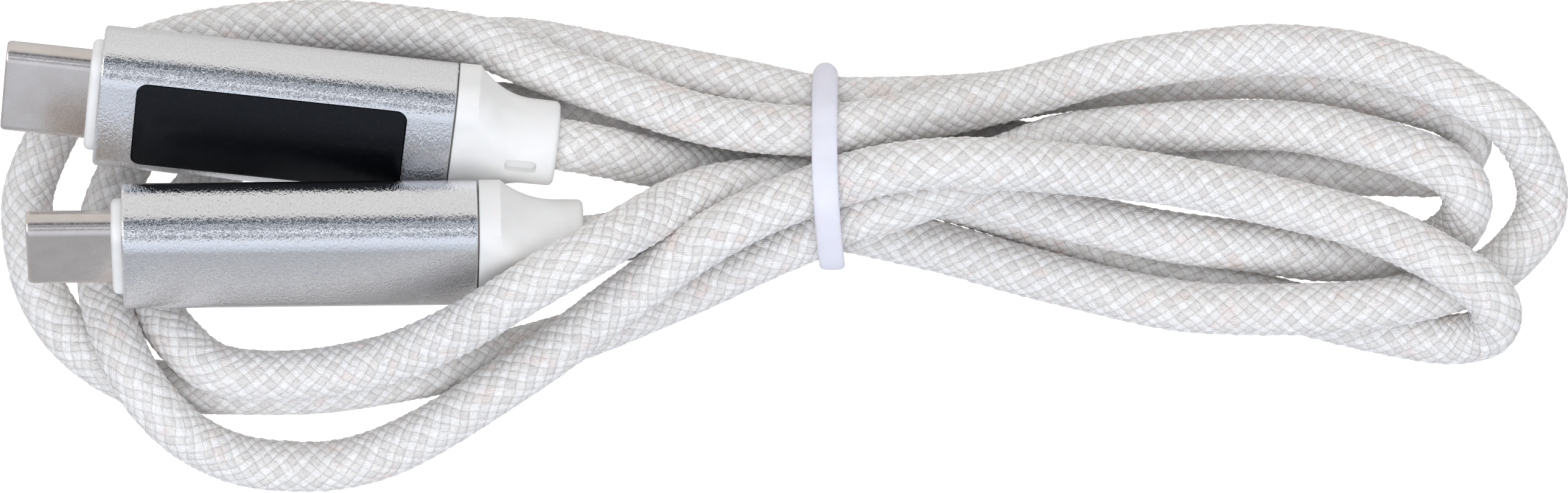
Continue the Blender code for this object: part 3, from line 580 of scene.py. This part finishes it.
def float_height(u, v):
    """The braid's relief from 0 in its gaps to about 1, where u and v count crossings."""
    a, b = np.round(u + v, 6), np.round(u - v, 6)
    i, j = np.floor(a), np.floor(b)
    step = np.mod(i + j, 4)
    second, half = step > 1.5, np.mod(step, 2)
    across = np.where(second, b - j, a - i)
    along = (np.where(second, a - i, b - j) + half) / 2
    side, reach = np.abs(2 * across - 1), np.abs(2 * along - 1)
    crown = (1 - side ** 2.2) ** 0.7
    arch = (1 - reach ** 3.5) ** 0.6 - 0.62 * np.exp(-((reach / 0.17) ** 2))
    # A float stands a little higher or lower than the next: a smooth number from its own indices.
    first_index, second_index = np.where(second, i - half, i), np.where(second, j, j - half)
    turn = first_index + second_index
    uneven = np.sin(2 * pi * turn * 5 / (2 * STRANDS) + 1.7 * (first_index - second_index))
    return crown * arch * (1 + 0.12 * uneven)


def tube(name, line):
    """The braided sleeve along the line. Its UV counts crossings round and along it."""
    around = STRANDS * FINENESS
    gaps = np.linalg.norm(np.diff(line, axis=0), axis=1)
    run = np.concatenate([[0.0], np.cumsum(gaps)])
    count = int(run[-1] / BRAID_PITCH * FINENESS) + 1
    u = np.broadcast_to(np.arange(around)[None, :] / FINENESS, (count, around))
    v = np.broadcast_to(np.arange(count)[:, None] / FINENESS, (count, around))
    # The yarns wander: a few waves that meet themselves after a turn.
    turn = 2 * pi * u / STRANDS
    sway_round = 0.05 * np.sin(3 * turn + 0.9 * v) + 0.03 * np.sin(5 * turn - 1.7 * v + 1.0)
    sway_round = sway_round + 0.04 * np.sin(2 * turn + 2.6 * v)
    sway_along = 0.05 * np.sin(2 * turn - 1.1 * v + 2.0) + 0.04 * np.sin(4 * turn + 2.1 * v)
    sway_along = sway_along + 0.03 * np.sin(6 * turn - 0.6 * v)
    angle = 2 * pi * (u + sway_round) / STRANDS
    reach = np.clip((v + sway_along) * BRAID_PITCH, 0.0, run[-1])
    first, second = carried_frames(line)

    def follow(values):
        return np.stack([np.interp(reach, run, values[:, k]) for k in range(3)], axis=2)

    bulge = 0.02 * MM * np.sin(0.23 * v) + 0.02 * MM * np.sin(0.61 * v + 2 * turn)
    radius = VALLEY_RADIUS + YARN_RISE * float_height(u, v) + bulge
    places = follow(line) + radius[:, :, None] * (
        np.cos(angle)[:, :, None] * follow(first) + np.sin(angle)[:, :, None] * follow(second)
    )
    base = np.arange(count - 1)[:, None] * around + np.arange(around)[None, :]
    nexts = np.arange(count - 1)[:, None] * around + (np.arange(around) + 1)[None, :] % around
    quads = np.stack([base, nexts, nexts + around, base + around], axis=2).reshape(-1, 4)
    mesh = bpy.data.meshes.new(name)
    mesh.vertices.add(count * around)
    mesh.vertices.foreach_set("co", places.astype(np.float32).ravel())
    mesh.loops.add(quads.size)
    mesh.loops.foreach_set("vertex_index", quads.astype(np.int32).ravel())
    mesh.polygons.add(len(quads))
    mesh.polygons.foreach_set("loop_start", np.arange(len(quads), dtype=np.int32) * 4)
    mesh.update(calc_edges=True)
    u0, v0 = u[:-1], v[:-1]
    u1, v1 = u0 + 1 / FINENESS, v0 + 1 / FINENESS
    uv = np.stack([u0, v0, u1, v0, u1, v1, u0, v1], axis=2).reshape(-1, 2)
    layer = mesh.uv_layers.new(name="braid")
    layer.data.foreach_set("uv", uv.astype(np.float32).ravel())
    mesh.shade_smooth()
    mesh.validate()
    return mesh


# ---------------------------------------------------------------- plugs


def place_piece(name, mesh, matrix, finish, *nodes):
    mesh.transform(matrix)
    item = mesh_object(name, mesh, "root", finish)
    if nodes:
        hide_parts(*nodes)
    return item


def housing_mesh(name, with_window):
    end = HOUSING_LENGTH
    edge = 0.18 * MM
    nose = 0.34 * MM
    front = [(nose - x, outline) for x, outline in filleted(HOUSING, 0.0, 1, nose, 6)]
    wall, lip = 0.8 * MM, 1.2 * MM
    inside = inset(HOUSING, wall)
    mouth = rounded(COLLAR[0] + 2 * FIT, COLLAR[1] + 2 * FIT, COLLAR[2] + FIT)
    rings = list(reversed(front)) + filleted(HOUSING, end - edge, 1, edge)
    rings += [(end, inside), (lip, inside), (lip, mouth), (0.0, mouth)]
    mesh = loft(name, rings)
    if with_window:
        outline = [(x + WINDOW_START + WINDOW[0] / 2, y) for x, y in rounded(*WINDOW)]
        mesh = subtract(mesh, [prism("opening", outline, 1.9 * MM, 4.0 * MM)])
    return smooth(mesh, 32)


def collar_mesh(name):
    edge = 0.5 * MM
    nose = -COLLAR_REACH
    front = [(nose + edge - x, outline) for x, outline in filleted(COLLAR, 0.0, 1, edge, 8)]
    back = 1.3 * MM
    hole = rounded(SHELL[0] + 2 * FIT, SHELL[1] + 2 * FIT, SHELL[1] / 2)
    rings = list(reversed(front)) + [(back, rounded(*COLLAR)), (back, hole), (nose, hole)]
    return smooth(loft(name, rings), 40)


def shell_mesh(name):
    def oval(amount):
        width, height = SHELL[0] - 2 * amount, SHELL[1] - 2 * amount
        return rounded(width, height, height / 2 * 0.82)

    front = -COLLAR_REACH - SHELL_REACH
    root, wall = 3.3 * MM, 0.25 * MM
    lip, drawn_in = 0.42 * MM, 0.24 * MM
    rings = []
    for step in reversed(range(8)):
        angle = step / 7 * pi / 2
        rings.append((front + lip * (1 - sin(angle)), oval(drawn_in * (1 - cos(angle)))))
    rings += [(root, oval(0.0)), (root, oval(wall)), (front, oval(wall))]
    return smooth(loft(name, rings), 40)


def boot_section(along):
    left = (1.0 - along) ** 2.25
    half_width = NECK_RADIUS + (HOUSING[0] / 2 - NECK_RADIUS) * left
    half_height = NECK_RADIUS + (HOUSING[1] / 2 - NECK_RADIUS) * left
    corner = HOUSING[2] + (0.98 * NECK_RADIUS - HOUSING[2]) * along
    return rounded(2 * half_width, 2 * half_height, min(corner, half_height * 0.999))


def boot_mesh(name):
    seat = HOUSING_LENGTH + FIT
    flare = seat + BOOT_SKIRT
    end = BOOT_END
    edge = 0.14 * MM
    tenon_end = seat - 1.8 * MM
    tenon = rounded(9.8 * MM, 4.7 * MM, 1.55 * MM)
    room = rounded(8.4 * MM, 3.5 * MM, 1.2 * MM)
    rings = [(tenon_end, tenon), (seat, tenon)]
    front = [(seat + edge - x, outline) for x, outline in filleted(HOUSING, 0.0, 1, edge)]
    rings += list(reversed(front))
    steps = 28
    for step in range(steps + 1):
        rings.append((flare + BOOT_FLARE * step / steps, boot_section(step / steps)))
    lip = 0.45 * MM
    for step in range(7):
        angle = step / 6 * pi / 2
        rings.append((end - lip + lip * sin(angle), disc(NECK_RADIUS - lip * (1 - cos(angle)))))
    bore = disc(2.2 * MM)
    rings += [(end, bore), (flare + 1.2 * MM, bore), (flare + 0.4 * MM, room), (tenon_end, room)]
    mesh = loft(name, rings)
    centre = flare + BOOT_FLARE - 0.3 * MM
    outline = [(x + centre, y) for x, y in rounded(*SLOT)]
    cuts = []
    for side in (1, -1):
        low, high = sorted((side * (NECK_RADIUS - SLOT_DEPTH), side * 4.0 * MM))
        cuts.append(prism("slot", outline, low, high))
    return smooth(subtract(mesh, cuts), 40)


def window_mesh(name):
    """The window: a thin plate whose face just clears the housing's, with a ground edge."""
    centre = WINDOW_START + WINDOW[0] / 2
    air = 0.06
    shape = bmesh.new()
    loops = []
    # Heights over the plug's axis and how far the outline is drawn in, in millimetres.
    for lift, drawn_in in ((2.5, 0.0), (3.16, 0.0), (3.235, 0.03), (3.26, 0.09)):
        outline = inset(WINDOW, (air + drawn_in) * MM)
        loops.append([shape.verts.new((x + centre, y, lift * MM)) for x, y in outline])
    for near, far in zip(loops, loops[1:]):
        for index in range(len(near)):
            after = (index + 1) % len(near)
            shape.faces.new((near[index], near[after], far[after], far[index]))
    shape.faces.new(list(reversed(loops[0])))
    shape.faces.new(loops[-1])
    bmesh.ops.recalc_face_normals(shape, faces=shape.faces)
    mesh = bpy.data.meshes.new(name)
    shape.to_mesh(mesh)
    shape.free()
    return smooth(mesh, 50)


def tie_mesh(name):
    """A soft band pulled round the strands: crowned, and bowed where the strands push it."""
    corners = [Vector(corner) * MM for corner in TIE_CORNERS]
    points = []
    for index, corner in enumerate(corners):
        after = corners[(index + 1) % len(corners)]
        into, out = corner - corners[index - 1], after - corner
        start = Vector((into.y, -into.x)).normalized()
        end = Vector((out.y, -out.x)).normalized()
        for step in range(9):
            points.append(corner + start.slerp(end, step / 8) * TIE_INSIDE)
    ring = even_loop(np.array(points), 96, 10)
    ahead = np.roll(ring, -1, axis=0) - np.roll(ring, 1, axis=0)
    ahead /= np.linalg.norm(ahead, axis=1)[:, None]
    outward = np.stack([ahead[:, 1], -ahead[:, 0]], axis=1)
    profile = [(-TIE_HALF_WIDTH * 0.86, 0.0), (TIE_HALF_WIDTH * 0.86, 0.0)]
    for step in range(17):
        angle = pi * step / 16
        across = np.sign(cos(angle)) * abs(cos(angle)) ** 0.7
        up = 0.18 + 0.82 * sin(angle) ** 0.55
        profile.append((TIE_HALF_WIDTH * across, TIE_THICKNESS * up))

    def crown_at(x, out_y):
        """Where the band turns down at the +Y side it is pinched into a rounder loop."""
        return (0.16 - 0.55 * (x / TIE_HALF_WIDTH) ** 2) * MM * max(out_y, 0.0) ** 3

    shape = bmesh.new()
    loops = []
    for (y, z), (out_y, out_z) in zip(ring, outward):
        bow = y / MM - 1.5
        lean = (-0.11 + (0.0075 if bow < 0 else 0.003) * bow * bow) * MM
        loop = []
        for x, reach in profile:
            out = out_y * (reach + crown_at(x, out_y))
            loop.append(shape.verts.new((x + lean, y + out, max(z + out_z * reach, 0.0))))
        loops.append(loop)
    for near, far in zip(loops, loops[1:] + loops[:1]):
        for index in range(len(near)):
            after = (index + 1) % len(near)
            shape.faces.new((near[index], near[after], far[after], far[index]))
    bmesh.ops.recalc_face_normals(shape, faces=shape.faces)
    mesh = bpy.data.meshes.new(name)
    shape.to_mesh(mesh)
    shape.free()
    return smooth(mesh, 60)


def even_loop(points, count, passes):
    """A closed line with its points evenly spaced, eased over a few passes."""
    closed = np.vstack([points, points[:1]])
    run = np.concatenate([[0.0], np.cumsum(np.linalg.norm(np.diff(closed, axis=0), axis=1))])
    marks = np.linspace(0.0, run[-1], count, endpoint=False)
    ring = np.stack([np.interp(marks, run, closed[:, k]) for k in range(2)], axis=1)
    for _ in range(passes):
        ring = (np.roll(ring, 1, axis=0) + 2 * ring + np.roll(ring, -1, axis=0)) / 4
    return ring


def build():
    finishes = {
        "aluminium": blasted_aluminium(),
        "nickel": nickel(),
        "white": moulded("white_plastic", (0.90, 0.892, 0.878), 0.42),
        "rubber": moulded(
            "white_rubber", (0.85, 0.842, 0.825), 0.5, Subsurface_Weight=0.1,
            Subsurface_Scale=1.0 * MM,
        ),
        "silicone": moulded(
            "silicone", (0.80, 0.80, 0.88), 0.45, Subsurface_Weight=0.25,
            Subsurface_Scale=1.0 * MM,
        ),
        "glass": glass_black(),
        "black": moulded("black_plastic", (0.02, 0.02, 0.021), 0.4),
        "grey": moulded("grey_plastic", (0.4, 0.41, 0.43), 0.5),
        "board": moulded("board", (0.015, 0.14, 0.06), 0.35),
        "gold": moulded("gold", (0.83, 0.66, 0.30), 0.25, Metallic=1.0),
        "spring": moulded("spring_steel", (0.5, 0.5, 0.51), 0.3, Metallic=1.0),
        "wire_power": moulded("wire_power", (0.6, 0.03, 0.03), 0.45),
        "wire_ground": moulded("wire_ground", (0.02, 0.02, 0.02), 0.45),
        "wire_data_plus": moulded("wire_data_plus", (0.03, 0.35, 0.08), 0.45),
        "wire_data_minus": moulded("wire_data_minus", (0.8, 0.8, 0.78), 0.45),
        "wire_control": moulded("wire_control", (0.04, 0.12, 0.5), 0.45),
    }
    given = {
        "plug_insulator": "black", "contacts_upper": "gold", "contacts_lower": "gold",
        "latch_plate": "spring", "circuit_board": "board", "inner_holder": "grey",
        "crimp_ring": "spring", "wire_power": "wire_power", "wire_ground": "wire_ground",
        "wire_data_plus": "wire_data_plus", "wire_data_minus": "wire_data_minus",
        "wire_control": "wire_control", "window_gasket": "black", "display": "glass",
        "controller_chip": "black", "shunt_resistor": "black", "marker_chip": "black",
    }
    for name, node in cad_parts.items():
        job = name.split("_", 1)[1] if "_" in name else name
        if job in given:
            node.data.materials.clear()
            node.data.materials.append(finishes[given[job]])

    for prefix, place in (("meter", METER_PLACE), ("plain", PLAIN_PLACE)):
        matrix = plug_matrix(place)
        for job, mesh, finish in (
            ("housing", housing_mesh("housing", prefix == "meter"), "aluminium"),
            ("front_collar", collar_mesh("collar"), "white"),
            ("plug_shell", shell_mesh("shell"), "nickel"),
            ("boot", boot_mesh("boot"), "rubber"),
        ):
            cad = prefix + "_" + job
            place_piece(cad + "_skin", mesh, matrix, finishes[finish], cad)
        if prefix == "meter":
            glass = window_mesh("window")
            place_piece("meter_window_skin", glass, matrix, finishes["glass"], "meter_window")

    tie = mesh_object("tie_band_skin", tie_mesh("tie"), "root", finishes["silicone"])
    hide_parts("tie_band")

    line = cord_line()
    cord = mesh_object("cord_braid", tube("cord_braid", line), "root", braid_material())
    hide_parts("cord")


def studio_world():
    """A soft white room round the X axis: bright walls, dark gaps between lamps overhead, a pale table."""
    world = bpy.data.worlds.new("studio")
    world.use_nodes = True
    tree = world.node_tree
    link = tree.links.new
    parts = tree.nodes.new("ShaderNodeSeparateXYZ")
    link(tree.nodes.new("ShaderNodeTexCoord").outputs["Generated"], parts.inputs[0])
    angle = tree.nodes.new("ShaderNodeMath")
    angle.operation = "ARCTAN2"
    link(parts.outputs[1], angle.inputs[0])
    link(parts.outputs[2], angle.inputs[1])
    share = tree.nodes.new("ShaderNodeMath")
    share.operation = "MULTIPLY_ADD"
    link(angle.outputs[0], share.inputs[0])
    share.inputs[1].default_value = 0.5 / pi
    share.inputs[2].default_value = 0.5
    ramp = tree.nodes.new("ShaderNodeValToRGB")
    ramp.color_ramp.interpolation = "EASE"
    link(share.outputs[0], ramp.inputs[0])
    # Degrees from straight up, towards +Y, and the room's brightness and warmth there.
    room = [
        (-180, 0.66, -0.4), (-130, 0.58, -1.0), (-114, 0.48, -2.2), (-96, 0.50, -1.6),
        (-78, 0.70, -3.0), (-54, 0.90, -3.6), (-42, 0.92, -3.0), (-33, 0.88, -2.4),
        (-25, 0.24, -4.0), (-19, 0.24, -4.0), (-12, 1.10, -2.0), (-5, 1.10, -2.0),
        (2, 0.20, -5.0), (9, 0.20, -5.0), (14, 0.82, -2.5), (18, 0.82, -2.5),
        (24, 0.13, -6.0), (38, 0.12, -6.0), (47, 0.66, -0.6), (60, 0.79, 0.4),
        (96, 0.80, 0.6), (112, 0.74, 0.0), (135, 0.66, 0.2), (180, 0.66, -0.4),
    ]
    elements = ramp.color_ramp.elements
    while len(elements) < len(room):
        elements.new(0.5)
    for element, (degrees, level, warmth) in zip(elements, room):
        element.position = degrees / 360 + 0.5
        red, blue = level * (1 + 0.02 * warmth), level * (1 - 0.035 * warmth)
        element.color = (red, level, blue, 1.0)
    background = tree.nodes["Background"]
    link(ramp.outputs[0], background.inputs["Color"])
    background.inputs["Strength"].default_value = 1.0
    bpy.context.scene.world = world


def aim_camera():
    camera = bpy.data.objects.new("camera", bpy.data.cameras.new("camera"))
    bpy.context.scene.collection.objects.link(camera)
    camera.location = CAMERA_PLACE
    camera.data.lens = CAMERA_LENS
    camera.data.sensor_width = CAMERA_SENSOR
    camera.data.sensor_fit = "HORIZONTAL"
    camera.data.clip_start = 0.01
    bpy.context.scene.camera = camera


def lay_floor():
    n = Nodes("floor")
    n.set(
        Base_Color=(0.9, 0.9, 0.9, 1.0), Roughness=0.8, Emission_Color=(1.0, 1.0, 1.0, 1.0),
        Emission_Strength=1.0,
    )
    mesh = bpy.data.meshes.new("floor")
    half = 3.0
    corners = [(-half, -half, 0), (half, -half, 0), (half, half, 0), (-half, half, 0)]
    mesh.from_pydata(corners, [], [(0, 1, 2, 3)])
    mesh.materials.append(n.material)
    plane = bpy.data.objects.new("floor", mesh)
    plane.location.z = -0.02 * MM
    plane.visible_diffuse = False
    plane.visible_glossy = False
    bpy.context.scene.collection.objects.link(plane)


def hang_light(name, location, turn, size, power, colour=(1.0, 1.0, 1.0)):
    """A rectangular lamp that the camera doesn't see."""
    light = bpy.data.lights.new(name, "AREA")
    light.shape = "RECTANGLE"
    light.size, light.size_y = size
    light.energy = power
    light.color = colour
    item = bpy.data.objects.new(name, light)
    item.location = location
    item.rotation_euler = turn
    item.visible_camera = False
    bpy.context.scene.collection.objects.link(item)
    return item


def studio():
    aim_camera()
    studio_world()
    lay_floor()
    # Softboxes over the hank, turned about X towards +Y: they light it, and the room does the mirroring.
    distance, size = 0.9, (1.0, 0.6)
    for name, degrees, power, colour in (
        ("box_near", -36, 3.0, (0.985, 0.985, 1.0)),
        ("box_far", 32, 2.2, (0.99, 0.988, 1.0)),
        ("box_top", 0, 1.2, (0.99, 0.988, 1.0)),
    ):
        angle = radians(degrees)
        place = (0.0, distance * sin(angle), distance * cos(angle))
        hang_light(name, place, (-angle, 0.0, 0.0), size, power, colour).visible_glossy = False
    # A strip beyond the plugs, seen only in reflections: it draws the bright line on their edges.
    strip = hang_light("strip", (-0.75, 0.0, 0.42), (0.0, -radians(61), 0.0), (0.25, 0.8), 1.6)
    strip.visible_diffuse = False
    bpy.context.scene.view_settings.view_transform = "Standard"
    bpy.context.scene.view_settings.look = "None"


build()
studio()
